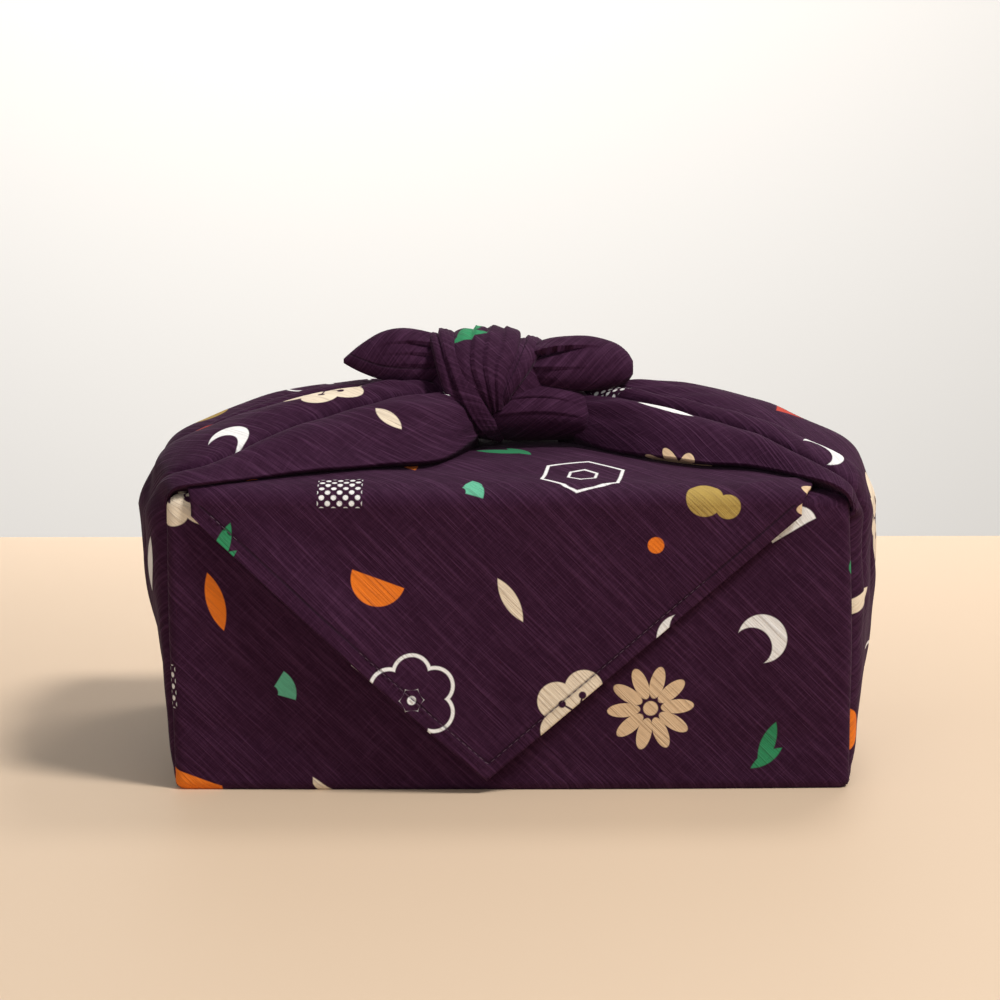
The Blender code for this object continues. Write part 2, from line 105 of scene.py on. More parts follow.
class Value:
    """A number on its way through a material, so that shader maths reads as Python."""

    def __init__(self, tree, socket):
        self.tree = tree
        self.socket = socket

    def node(self, kind, settings, inputs, output=0):
        made = self.tree.nodes.new(kind)
        for name, setting in settings.items():
            setattr(made, name, setting)
        for key, given in inputs.items():
            if isinstance(given, Value):
                self.tree.links.new(given.socket, made.inputs[key])
            else:
                made.inputs[key].default_value = given
        return Value(self.tree, made.outputs[output])

    def maths(self, operation, *others):
        numbers = dict(enumerate((self, *others)))
        return self.node("ShaderNodeMath", {"operation": operation}, numbers)

    def __add__(self, other):
        return self.maths("ADD", other)

    __radd__ = __add__

    def __sub__(self, other):
        return self.maths("SUBTRACT", other)

    def __rsub__(self, other):
        return (self * -1.0) + other

    def __mul__(self, other):
        return self.maths("MULTIPLY", other)

    __rmul__ = __mul__

    def __truediv__(self, other):
        return self.maths("DIVIDE", other)

    def __neg__(self):
        return self * -1.0

    def __abs__(self):
        return self.maths("ABSOLUTE")

    def least(self, other):
        return self.maths("MINIMUM", other)

    def most(self, other):
        return self.maths("MAXIMUM", other)

    def length_with(self, other):
        return (self * self + other * other).maths("SQRT")

    def between(self, low, high):
        """0 at the low value and 1 at the high one."""
        ends = {"Value": self, "From Min": low, "From Max": high, "To Min": 0.0, "To Max": 1.0}
        return self.node("ShaderNodeMapRange", {"clamp": True}, ends)

    def mixed(self, colour, other):
        """The first colour where this is 0 and the other where it is 1."""
        inputs = {0: self, 6: colour, 7: other}
        return self.node("ShaderNodeMix", {"data_type": "RGBA"}, inputs, output=2)


def disc(x, y, radius):
    return x.length_with(y) - radius


def in_wedges(x, y, count):
    """The place within the nearest of a number of equal wedges round the centre."""
    wedge = math.tau / count
    angle = y.maths("ARCTAN2", x).maths("FLOORED_MODULO", wedge) - wedge / 2
    length = x.length_with(y)
    return length * angle.maths("COSINE"), length * angle.maths("SINE")


def plum_blossom(x, y, size):
    along, aside = in_wedges(x, y, 5)
    petals = disc(along - size * 0.56, aside, size * 0.43).least(disc(x, y, size * 0.4))
    knobs = disc(along - size * 0.42, aside, size * 0.085).least(disc(x, y, size * 0.13))
    threads = (abs(aside) - size * 0.022).most(along - size * 0.4)
    return petals.most(-knobs.least(threads))


def outlined_blossom(x, y, size):
    along, aside = in_wedges(x, y, 6)
    rim = abs(disc(along - size * 0.60, aside, size * 0.42)).most(size * 0.28 - along) - 0.00065
    return rim.least(disc(x, y, size * 0.10))


def daisy(x, y, size):
    along, aside = in_wedges(x, y, 10)
    return disc(along - size * 0.62, aside * 2.3, size * 0.38).least(disc(x, y, size * 0.17))


def tortoise_shell(x, y, size):
    along, aside = in_wedges(x, y, 6)
    return (abs(along - size * 0.85) - 0.00060).least(abs(along - size * 0.30) - 0.00050)


def hail_dots(x, y, size):
    pitch = 0.0031
    across = (x / pitch).maths("FRACT") - 0.5
    down = (y / pitch).maths("FRACT") - 0.5
    dots = (across.length_with(down) - 0.31) * pitch
    return dots.most(abs(x) + abs(y) - size)


def fan(x, y, size):
    sides = abs(y) * 0.80 - x * 0.60
    return disc(x, y, size).most(-disc(x, y, size * 0.30)).most(sides)


def leaf(x, y, size):
    bow = size * 1.7
    middle = bow - size * 0.27
    return disc(x, y - middle, bow).most(disc(x, y + middle, bow))


def leaf_pair(x, y, size):
    lower = leaf(x * 0.8 + y * 0.6 - size * 0.6, y * 0.8 - x * 0.6, size * 0.75)
    return leaf(x, y - size * 0.5, size).least(lower)


def crescent(x, y, size):
    return disc(x, y, size).most(-disc(x - size * 0.55, y - size * 0.10, size * 0.82))


def half_disc(x, y, size):
    return disc(x, y, size).most(-y)


def gourd(x, y, size):
    return disc(x + size * 0.35, y, size * 0.68).least(disc(x - size * 0.55, y, size * 0.46))


def mountain(x, y, size):
    return (abs(x) * 0.80 + y * 0.60 - size * 0.45).most(-y - size * 0.10)


# One repeat of the print, in millimetres: motif, place, turn in degrees, size and colour
MOTIFS = [
    {"motif": outlined_blossom, "x": 30, "y": 24, "turn": 10, "size": 17.0, "colour": WHITE},
    {"motif": gourd, "x": 79, "y": 14, "turn": 60, "size": 10.0, "colour": GOLD},
    {"motif": plum_blossom, "x": 124, "y": 34, "turn": 15, "size": 18.0, "colour": CREAM},
    {"motif": leaf, "x": 170, "y": 12, "turn": -35, "size": 10.0, "colour": MINT},
    {"motif": hail_dots, "x": 212, "y": 30, "turn": 0, "size": 13.0, "colour": WHITE},
    {"motif": fan, "x": 252, "y": 10, "turn": 100, "size": 12.0, "colour": ORANGE},
    {"motif": half_disc, "x": 77, "y": 52, "turn": 150, "size": 9.0, "colour": WHITE},
    {"motif": leaf_pair, "x": 172, "y": 56, "turn": 20, "size": 12.0, "colour": GREEN},
    {"motif": fan, "x": 246, "y": 64, "turn": 75, "size": 13.5, "colour": CREAM},
    {"motif": disc, "x": 100, "y": 66, "turn": 0, "size": 2.6, "colour": GREEN},
    {"motif": mountain, "x": 22, "y": 70, "turn": 20, "size": 14.0, "colour": CORAL},
    {"motif": leaf, "x": 134, "y": 78, "turn": 75, "size": 12.0, "colour": ORANGE},
    {"motif": crescent, "x": 65, "y": 92, "turn": 130, "size": 9.0, "colour": WHITE},
    {"motif": tortoise_shell, "x": 199, "y": 96, "turn": 40, "size": 16.5, "colour": WHITE},
    {"motif": hail_dots, "x": 110, "y": 110, "turn": 45, "size": 11.5, "colour": WHITE},
    {"motif": daisy, "x": 24, "y": 118, "turn": 50, "size": 16.0, "colour": TAN},
    {"motif": fan, "x": 153, "y": 112, "turn": -20, "size": 9.5, "colour": MINT},
    {"motif": gourd, "x": 246, "y": 116, "turn": 20, "size": 10.0, "colour": GOLD},
    {"motif": disc, "x": 225, "y": 132, "turn": 0, "size": 3.0, "colour": ORANGE},
    {"motif": leaf_pair, "x": 72, "y": 134, "turn": 110, "size": 10.0, "colour": GREEN},
    {"motif": half_disc, "x": 124, "y": 144, "turn": 20, "size": 10.0, "colour": ORANGE},
    {"motif": leaf, "x": 172, "y": 152, "turn": 60, "size": 10.0, "colour": CREAM},
    {"motif": leaf, "x": 29, "y": 160, "turn": 15, "size": 12.0, "colour": WHITE},
    {"motif": gourd, "x": 89, "y": 172, "turn": 130, "size": 9.0, "colour": GOLD},
    {"motif": crescent, "x": 234, "y": 166, "turn": -60, "size": 8.5, "colour": WHITE},
    {"motif": outlined_blossom, "x": 136, "y": 188, "turn": 0, "size": 16.0, "colour": WHITE},
    {"motif": plum_blossom, "x": 197, "y": 194, "turn": 30, "size": 16.5, "colour": CREAM},
    {"motif": hail_dots, "x": 48, "y": 198, "turn": 20, "size": 11.0, "colour": WHITE},
    {"motif": mountain, "x": 246, "y": 204, "turn": -30, "size": 11.0, "colour": CORAL},
    {"motif": disc, "x": 91, "y": 208, "turn": 0, "size": 2.6, "colour": MINT},
]


def streaks(along, across, length, width, seed):
    """Uneven lines that run along, as thick and thin threads do."""
    place = along.node("ShaderNodeCombineXYZ", {}, {0: along / length, 1: across / width, 2: seed})
    settings = {"Vector": place, "Scale": 1.0, "Detail": 1.5, "Roughness": 0.55}
    return along.node("ShaderNodeTexNoise", {"noise_dimensions": "3D"}, settings)


printed_cotton = bpy.data.materials.new("printed_cotton")
printed_cotton.use_nodes = True
tree = printed_cotton.node_tree
shader = tree.nodes["Principled BSDF"]
start = Value(tree, None)
flat_place = start.node("ShaderNodeUVMap", {"uv_map": "flat_cloth"}, {})
u = start.node("ShaderNodeSeparateXYZ", {}, {0: flat_place}, output=0)
v = start.node("ShaderNodeSeparateXYZ", {}, {0: flat_place}, output=1)
from_edge = start.node("ShaderNodeAttribute", {"attribute_name": "from_edge"}, {}, output=2)

warp = (u + v) * math.sqrt(0.5)
weft = (u - v) * math.sqrt(0.5)
warp_slub = streaks(warp, weft, 0.034, 0.00115, 1.7).between(0.50, 0.72)
warp_fine = streaks(warp, weft, 0.008, 0.00045, 5.3)
weft_slub = streaks(weft, warp, 0.020, 0.00125, 9.1).between(0.55, 0.78)
weft_fine = streaks(weft, warp, 0.006, 0.00048, 3.9)
worn = streaks(warp, weft, 0.16, 0.10, 7.7)
lit = warp_slub * 0.26 + weft_slub * 0.12 + warp_fine.between(0.40, 0.80) * 0.26
lit = lit + weft_fine.between(0.45, 0.80) * 0.14
colour = lit.mixed(AUBERGINE, LIT_THREAD)

row = (v / REPEAT_ALONG).maths("FLOOR")
tile_x = (u / REPEAT_ACROSS + row * ROW_SHIFT + FIRST_SHIFT).maths("FRACT") * (REPEAT_ACROSS * 1000)
tile_y = (v / REPEAT_ALONG).maths("FRACT") * (REPEAT_ALONG * 1000)
ink = 1.0 - warp_slub * 0.16 - warp_fine.between(0.45, 0.80) * 0.20
for printed in MOTIFS:
    x = tile_x - printed["x"]
    y = tile_y - printed["y"]
    cos = math.cos(math.radians(printed["turn"])) * 0.001
    sin = math.sin(math.radians(printed["turn"])) * 0.001
    shape = printed["motif"](x * cos + y * sin, y * cos - x * sin, printed["size"] * 0.001)
    colour = (shape.between(0.0002, -0.0002) * ink).mixed(colour, printed["colour"])

# A groove runs along the hem's inner line, and the cloth's colour is darkened along it as painted shade
# in that groove.
hem_groove_shade = abs(from_edge - HEM_WIDTH).between(0.0006, 0.0001)
on_hem = from_edge.between(HEM_WIDTH + 0.0004, HEM_WIDTH - 0.0004)
colour = (hem_groove_shade * 0.6).mixed(colour, (0.008, 0.0025, 0.006, 1.0))
tree.links.new(colour.socket, shader.inputs["Base Color"])
roughness = 0.80 + worn * 0.12 - warp_slub * 0.06
tree.links.new(roughness.socket, shader.inputs["Roughness"])
shader.inputs["Specular IOR Level"].default_value = 0.10
shader.inputs["Sheen Weight"].default_value = 0.06
shader.inputs["Sheen Roughness"].default_value = 0.40
shader.inputs["Sheen Tint"].default_value = (0.80, 0.60, 0.78, 1.0)
relief = warp_slub * 0.00018 + weft_slub * 0.00010 + warp_fine * 0.00014 + weft_fine * 0.00011
relief = relief + on_hem * 0.00035 - hem_groove_shade * 0.00030
bump = start.node("ShaderNodeBump", {}, {"Strength": 0.9, "Distance": 1.0, "Height": relief})
tree.links.new(bump.socket, shader.inputs["Normal"])

# The middle of the cloth
# One strip of the square: from the near corner's end, tucked away on top, down the front, under the
# box, up the back, over the top, and down the front again to the hemmed far corner, which hangs as a
# pointed flap. It is folded round the box by hand.
MILLIMETRE = 0.001
THICKNESS = 0.0012
WIDTH = 0.250
DEPTH = 0.150
HEIGHT = 0.113
HALF_WIDTH = WIDTH / 2
HALF_DEPTH = DEPTH / 2
LAYER = 0.0024
CORNER_RADIUS = 0.0035
TOP_RADIUS = 0.006
FRONT_BELLY = 0.0015
CROWN_HEIGHT = 0.007
CREASE_SETBACK = 0.0050
CREASE_DEPTH = 0.0022
FOLD_STAND = 0.0022
FOLD_ROUNDING = 0.0016
TUCK = 0.0035
WALL_ROWS = [
    {"height": 0.0, "inset": 1.2, "lean": 1.6, "left": 0.0, "right": 0.0, "crease": 0.0},
    {"height": 1.4, "inset": 0.2, "lean": 1.6, "left": 0.0, "right": 0.3, "crease": 0.3},
    {"height": 6.0, "inset": 0.0, "lean": 1.5, "left": 1.0, "right": 2.0, "crease": 0.7},
    {"height": 30.0, "inset": -0.3, "lean": 1.1, "left": 4.0, "right": 8.0, "crease": 1.0},
    {"height": 55.0, "inset": -0.6, "lean": 0.7, "left": 8.5, "right": 12.5, "crease": 1.0},
    {"height": 80.0, "inset": -0.4, "lean": 0.3, "left": 12.3, "right": 14.8, "crease": 1.0},
    {"height": 100.0, "inset": 0.0, "lean": 0.0, "left": 12.6, "right": 13.6, "crease": 1.0},
]
WALL_TOP = 0.100
TOP_HALF_WIDTH = 0.1212
UNDER_FLAP_END = 0.058
FLAP_LEFT_EDGE = 0.1155
FLAP_RIGHT_EDGE = 0.1065
FLAP_NARROWS_FROM = -0.040
FLAP_TIP_X = -0.0081
FLAP_TIP_HEIGHT = 0.0050
FLAP_END_LENGTH = 0.004
FLAP_TIP_STAND = 0.0035
FLAP_LEFT_STAND = 0.0068
MIDDLE_COLUMNS = 169
SLACK_WAVES = 7


def softly(at, places, values):
    """A smooth curve through the values of a short table."""
    places = np.asarray(places, float)
    values = np.asarray(values, float)
    slope = np.gradient(values, places)
    at = np.clip(at, places[0], places[-1])
    low = np.clip(np.searchsorted(places, at, side="right") - 1, 0, len(places) - 2)
    span = places[low + 1] - places[low]
    t = (at - places[low]) / span
    start_part = values[low] * (2 * t**3 - 3 * t**2 + 1) + slope[low] * span * (t**3 - 2 * t**2 + t)
    end_part = values[low + 1] * (3 * t**2 - 2 * t**3) + slope[low + 1] * span * (t**3 - t**2)
    return start_part + end_part


def eased(share):
    share = np.clip(share, 0.0, 1.0)
    return share * share * (3 - 2 * share)


def wall_row(height):
    """The wall's sizes at one height, in metres, with the crease as a share."""
    heights = [row["height"] * MILLIMETRE for row in WALL_ROWS]
    found = {}
    for key in ("inset", "lean", "left", "right", "crease"):
        unit = 1.0 if key == "crease" else MILLIMETRE
        found[key] = float(softly(height, heights, [row[key] * unit for row in WALL_ROWS]))
    return found


def top_height(x, y):
    across = 1 - np.minimum(1, np.abs(x) / HALF_WIDTH) ** 3
    along = 1 - np.minimum(1, np.abs(y) / HALF_DEPTH) ** 2.2
    return HEIGHT + CROWN_HEIGHT * across * along


# Half of the run across the front: flat, round the corner, in to the crease, and tucked behind it
FLAT_HALF = HALF_WIDTH - CORNER_RADIUS
ARC_RUN = CORNER_RADIUS * math.pi / 2
CREASE_RUN = math.hypot(CREASE_DEPTH, CREASE_SETBACK - CORNER_RADIUS)
HALF_RUN = FLAT_HALF + ARC_RUN + CREASE_RUN + TUCK


def face_row(height, side):
    """The front (side -1) or back (side 1) of the wall at one height, and its run from the middle."""
    row = wall_row(height)
    near_edge = 1 - np.linspace(-1, 1, MIDDLE_COLUMNS) ** 2
    run = np.linspace(-HALF_RUN, HALF_RUN, MIDDLE_COLUMNS)
    run = run * (1 + 0.06 * near_edge)
    aside = np.abs(run)
    turn = np.clip((aside - FLAT_HALF) / CORNER_RADIUS, 0, math.pi / 2)
    to_crease = np.clip((aside - FLAT_HALF - ARC_RUN) / CREASE_RUN, 0, 1)
    tucked = np.clip(aside - FLAT_HALF - ARC_RUN - CREASE_RUN, 0, TUCK)
    x = np.minimum(aside, FLAT_HALF) + CORNER_RADIUS * np.sin(turn) - row["inset"]
    x = x - CREASE_DEPTH * row["crease"] * to_crease**2 - tucked * 0.6
    way_in = CORNER_RADIUS * (1 - np.cos(turn)) + (CREASE_SETBACK - CORNER_RADIUS) * to_crease
    way_in = way_in + tucked * 0.8
    belly = FRONT_BELLY * (1 - np.minimum(aside / FLAT_HALF, 1) ** 2)
    y = side * (HALF_DEPTH - row["inset"] - way_in + belly)
    return np.stack([np.sign(run) * x + row["lean"], y, np.full(len(x), height)], axis=1), run


def rows_on_to_top(side, level, steps):
    """Rows over the rounded edge from the front or back wall on to the parcel's top."""
    first, run = face_row(WALL_TOP, side)
    set_back = first[:, 1] - side * HALF_DEPTH
    made = []
    for share in np.linspace(0, 1, steps + 1)[1:]:
        turn = math.pi / 2 * share
        x = first[:, 0] + (top_x - first[:, 0]) * share**3
        y = side * (HALF_DEPTH - TOP_RADIUS * (1 - math.cos(turn))) + set_back * (1 - share**3)
        z = np.full(MIDDLE_COLUMNS, level - TOP_RADIUS * (1 - math.sin(turn)))
        rise = level - TOP_RADIUS - WALL_TOP + TOP_RADIUS * turn
        made.append((np.stack([x, y, z], axis=1), run + (top_x - run) * share, rise))
    return made


share_across = np.linspace(-1, 1, MIDDLE_COLUMNS)
top_x = share_across * TOP_HALF_WIDTH
edge_x = np.where(share_across < 0, FLAP_LEFT_EDGE, FLAP_RIGHT_EDGE) * share_across
far_from_edge = np.full(MIDDLE_COLUMNS, 1.0)
middle_points = []
middle_flat = []
middle_edge = []


def add_row(points, run, length, edge=far_from_edge):
    """Adds a row of the strip. Its length is measured from the middle of the floor."""
    middle_points.append(points)
    middle_flat.append(np.stack([run, np.broadcast_to(length, run.shape)], axis=1))
    middle_edge.append(edge)


TO_TOP = HALF_DEPTH + WALL_TOP
OVER_EDGE = HEIGHT - WALL_TOP - TOP_RADIUS + TOP_RADIUS * math.pi / 2
for y in np.linspace(UNDER_FLAP_END, -HALF_DEPTH + TOP_RADIUS, 24):
    level = top_height(top_x, y) - LAYER
    length = -(TO_TOP + OVER_EDGE + y + HALF_DEPTH - TOP_RADIUS)
    add_row(np.stack([top_x, np.full(MIDDLE_COLUMNS, y), level], axis=1), top_x, length)
for points, run, rise in rows_on_to_top(-1, HEIGHT - LAYER, 8)[-2::-1]:
    add_row(points, run, -(TO_TOP + rise))
low_heights = [0.006, 0.0042, 0.0026, 0.0014, 0.0006, 0.0]
for height in list(np.linspace(WALL_TOP, 0.008, 48)) + low_heights:
    points, run = face_row(height, -1)
    add_row(points, run, -(HALF_DEPTH + height))
floor_front, run = face_row(0.0, -1)
floor_back, run = face_row(0.0, 1)
for share in np.linspace(0, 1, 14)[1:-1]:
    add_row(floor_front + (floor_back - floor_front) * share, run, -HALF_DEPTH + DEPTH * share)
for height in low_heights[::-1] + list(np.linspace(0.008, WALL_TOP, 36)):
    points, run = face_row(height, 1)
    add_row(points, run, HALF_DEPTH + height)
for points, run, rise in rows_on_to_top(1, HEIGHT, 8):
    add_row(points, run, TO_TOP + rise)
top_end = -HALF_DEPTH + TOP_RADIUS - LAYER
for y in np.linspace(HALF_DEPTH - TOP_RADIUS, top_end, 60)[1:]:
    narrowed = eased((FLAP_NARROWS_FROM - y) / (FLAP_NARROWS_FROM - top_end)) * 0.7
    x = top_x * (1 - narrowed) + edge_x * narrowed
    length = TO_TOP + OVER_EDGE + HALF_DEPTH - TOP_RADIUS - y
    add_row(np.stack([x, np.full(MIDDLE_COLUMNS, y), top_height(x, y)], axis=1), x, length)
last_x = x
face_y = top_end - TOP_RADIUS
for share in np.linspace(0, 1, 9)[1:]:
    turn = math.pi / 2 * share
    x = last_x + (edge_x - last_x) * share
    belly = FRONT_BELLY * (1 - (x / HALF_WIDTH) ** 2) * share
    z = np.full(MIDDLE_COLUMNS, HEIGHT - TOP_RADIUS * (1 - math.cos(turn)))
    points = np.stack([x, face_y + TOP_RADIUS * (1 - math.sin(turn)) - belly, z], axis=1)
    add_row(points, x, length + TOP_RADIUS * turn)
face_top = HEIGHT - TOP_RADIUS
face_length = length + TOP_RADIUS * math.pi / 2


def flap_place(across, top_edge_x, down):
    """Places on the hanging flap: down is 0 at the parcel's top and 1 at the cloth's edge."""
    middle = 1 - np.abs(across)
    x = top_edge_x + FLAP_TIP_X * down * middle
    end_top = face_top - FLAP_END_LENGTH
    end_z = end_top - (end_top - FLAP_TIP_HEIGHT) * middle
    z = face_top + (end_z - face_top) * down
    left = np.clip(-across, 0, 1)
    stand = FLAP_TIP_STAND * eased(middle * down)
    stand = stand + FLAP_LEFT_STAND * np.sin(math.pi * left) ** 0.8 * down**2
    belly = FRONT_BELLY * (1 - (x / HALF_WIDTH) ** 2)
    return np.stack([x, face_y - belly - stand, z], axis=-1), (z - end_z) * math.sqrt(0.5)


for down in np.linspace(0, 1, 70)[1:]:
    points, edge = flap_place(share_across, edge_x, down)
    add_row(points, points[:, 0], face_length + face_top - points[:, 2], edge)


def outward(points):
    """The unit normals of a grid of points, on the side of the cloth's face."""
    normal = np.cross(np.gradient(points, axis=0), np.gradient(points, axis=1))
    return normal / np.maximum(np.linalg.norm(normal, axis=2, keepdims=True), 1e-12)


def crease_height(flat, creases):
    """Soft creases along lines of the flat cloth, that fade out at both ends."""
    height = np.zeros(flat.shape[:2])
    for crease in creases:
        begin = np.array(crease["from"]) * MILLIMETRE
        run = np.array(crease["to"]) * MILLIMETRE - begin
        share = np.clip(((flat - begin) @ run) / (run @ run), 0, 1)
        aside = np.linalg.norm(flat - begin - share[..., None] * run, axis=2)
        fade = np.sin(math.pi * share) ** 0.7
        height += crease["height"] * np.exp(-((aside / (crease["wide"] * MILLIMETRE)) ** 2)) * fade
    return height * MILLIMETRE


def slack_height(flat, seed, size, height):
    """The small unevenness of cloth that isn't drawn tight."""
    chance = np.random.default_rng(seed)
    total = np.zeros(flat.shape[:2])
    for _ in range(SLACK_WAVES):
        angle = chance.uniform(0, math.pi)
        length = size * chance.uniform(0.6, 1.6)
        run = flat[..., 0] * math.cos(angle) + flat[..., 1] * math.sin(angle)
        total += np.sin(run * math.tau / length + chance.uniform(0, math.tau))
    return total * height / SLACK_WAVES


def sheet_object(name, points, flat, edge, thickness):
    """A grid of points as a sheet of the printed cotton, with its thickness behind its face."""
    row_count, column_count = points.shape[:2]
    index = np.arange(row_count * column_count).reshape(row_count, column_count)
    corners = [index[:-1, :-1], index[1:, :-1], index[1:, 1:], index[:-1, 1:]]
    quads = np.stack(corners, axis=-1).reshape(-1, 4)
    mesh = bpy.data.meshes.new(name)
    mesh.from_pydata(points.reshape(-1, 3).tolist(), [], quads.tolist())
    uv = mesh.uv_layers.new(name="flat_cloth")
    uv.data.foreach_set("uv", flat.reshape(-1, 2)[quads.ravel()].astype(np.float32).ravel())
    edges = mesh.attributes.new("from_edge", "FLOAT", "POINT")
    edges.data.foreach_set("value", edge.astype(np.float32).ravel())
    mesh.materials.append(printed_cotton)
    mesh.shade_smooth()
    sheet = bpy.data.objects.new(name, mesh)
    bpy.context.scene.collection.objects.link(sheet)
    if thickness:
        wall = sheet.modifiers.new("thickness", "SOLIDIFY")
        wall.thickness = thickness
        wall.offset = -1.0
    return sheet


# Creases of the strip on the flat cloth, in millimetres
MIDDLE_CREASES = [
    {"from": (-60, 306), "to": (75, 328), "wide": 6.0, "height": -0.9},
    {"from": (-105, 340), "to": (-50, 398), "wide": 8.0, "height": 1.3},
    {"from": (108, 337), "to": (60, 374), "wide": 6.5, "height": 1.1},
    {"from": (84, 334), "to": (112, 322), "wide": 3.2, "height": 1.2},
    {"from": (-118, -152), "to": (-80, -105), "wide": 6.0, "height": 0.7},
    {"from": (120, -168), "to": (85, -112), "wide": 6.0, "height": 0.8},
    {"from": (122, -97), "to": (70, -88), "wide": 5.0, "height": -0.6},
    {"from": (-122, -102), "to": (-60, -86), "wide": 5.0, "height": -0.6},
    {"from": (-90, 150), "to": (-30, 185), "wide": 7.0, "height": 0.8},
    {"from": (95, 120), "to": (40, 180), "wide": 7.0, "height": 0.7},
]
middle_points = np.array(middle_points)
middle_flat = np.array(middle_flat)
loose = slack_height(middle_flat, 4, 0.085, 0.0009) + slack_height(middle_flat, 9, 0.030, 0.0003)
loose *= np.clip((np.abs(middle_flat[..., 1]) - HALF_DEPTH - 0.003) / 0.02, 0, 1)
loose *= np.clip((HALF_RUN - np.abs(middle_flat[..., 0])) / 0.02, 0, 1)
middle_height = crease_height(middle_flat, MIDDLE_CREASES) + loose
middle_points = middle_points + outward(middle_points) * middle_height[..., None]
middle = sheet_object("middle_of_cloth", middle_points, middle_flat, np.array(middle_edge), THICKNESS)
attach(middle, "root")
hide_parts("furoshiki_cloth")

# The stitches of the hem
# The hem of the square is turned in twice and sewn with a dark thread. It shows along both edges of
# the hanging corner.
STITCH_STEP = 0.0028
STITCH_LENGTH = 0.0020
THREAD_WIDTH = 0.00034

hem_thread = bpy.data.materials.new("hem_thread")
hem_thread.use_nodes = True
thread_shader = hem_thread.node_tree.nodes["Principled BSDF"]
thread_shader.inputs["Base Color"].default_value = (0.060, 0.024, 0.050, 1.0)
thread_shader.inputs["Roughness"].default_value = 0.55

seam_across = np.concatenate([np.linspace(-0.93, -0.004, 90), np.linspace(0.004, 0.93, 90)])
seam_edge = np.where(seam_across < 0, FLAP_LEFT_EDGE, FLAP_RIGHT_EDGE) * seam_across
seam_drop = (face_top - FLAP_END_LENGTH - FLAP_TIP_HEIGHT) * (1 - np.abs(seam_across))
seam_drop = seam_drop + FLAP_END_LENGTH
seam_down = 1 - HEM_WIDTH * math.sqrt(2) / seam_drop
on_face = seam_down > 0.02
seam_points = flap_place(seam_across[on_face], seam_edge[on_face], seam_down[on_face])[0]
seam_points[:, 1] -= THICKNESS / 2
seam_mesh = bpy.data.meshes.new("hem_stitches")
seam_edges = [(i, i + 1) for i in range(len(seam_points) - 1)]
seam_mesh.from_pydata(seam_points.tolist(), seam_edges, [])
seam = bpy.data.objects.new("hem_stitches", seam_mesh)
bpy.context.scene.collection.objects.link(seam)

sewing = bpy.data.node_groups.new("sewing", "GeometryNodeTree")
for way in ("INPUT", "OUTPUT"):
    sewing.interface.new_socket("Geometry", in_out=way, socket_type="NodeSocketGeometry")
stitch_sizes = {"Stitch step": STITCH_STEP, "Stitch length": STITCH_LENGTH, "Thread width": THREAD_WIDTH}
for name, size in stitch_sizes.items():
    socket = sewing.interface.new_socket(name, in_out="INPUT", socket_type="NodeSocketFloat")
    socket.default_value = size
given = sewing.nodes.new("NodeGroupInput")
result = sewing.nodes.new("NodeGroupOutput")
seam_curve = sewing.nodes.new("GeometryNodeMeshToCurve")
places = sewing.nodes.new("GeometryNodeCurveToPoints")
places.mode = "LENGTH"
thread = sewing.nodes.new("GeometryNodeMeshUVSphere")
thread.inputs["Segments"].default_value = 8
thread.inputs["Rings"].default_value = 6
thread.inputs["Radius"].default_value = 0.5
stitch_size = sewing.nodes.new("ShaderNodeCombineXYZ")
shaped = sewing.nodes.new("GeometryNodeTransform")
uneven = sewing.nodes.new("FunctionNodeRandomValue")
uneven.data_type = "FLOAT"
uneven.inputs["Min"].default_value = 0.85
uneven.inputs["Max"].default_value = 1.10
uneven.inputs["Seed"].default_value = 3
sewn = sewing.nodes.new("GeometryNodeInstanceOnPoints")
realized = sewing.nodes.new("GeometryNodeRealizeInstances")
painted = sewing.nodes.new("GeometryNodeSetMaterial")
painted.inputs["Material"].default_value = hem_thread
for source, output, target, socket in (
    (given, "Geometry", seam_curve, "Mesh"),
    (seam_curve, "Curve", places, "Curve"),
    (given, "Stitch step", places, "Length"),
    (given, "Thread width", stitch_size, "X"),
    (given, "Thread width", stitch_size, "Y"),
    (given, "Stitch length", stitch_size, "Z"),
    (thread, "Mesh", shaped, "Geometry"),
    (stitch_size, "Vector", shaped, "Scale"),
    (places, "Points", sewn, "Points"),
    (places, "Rotation", sewn, "Rotation"),
    (shaped, "Geometry", sewn, "Instance"),
    (uneven, "Value", sewn, "Scale"),
    (sewn, "Instances", realized, "Geometry"),
    (realized, "Geometry", painted, "Geometry"),
    (painted, "Geometry", result, "Geometry"),
):
    sewing.links.new(source.outputs[output], target.inputs[socket])
stitching = seam.modifiers.new("sewing", "NODES")
stitching.node_group = sewing
evaluated = seam.evaluated_get(bpy.context.evaluated_depsgraph_get())
sewn_mesh = bpy.data.meshes.new_from_object(evaluated)
seam.modifiers.remove(stitching)
seam.data = sewn_mesh
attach(seam, "root")

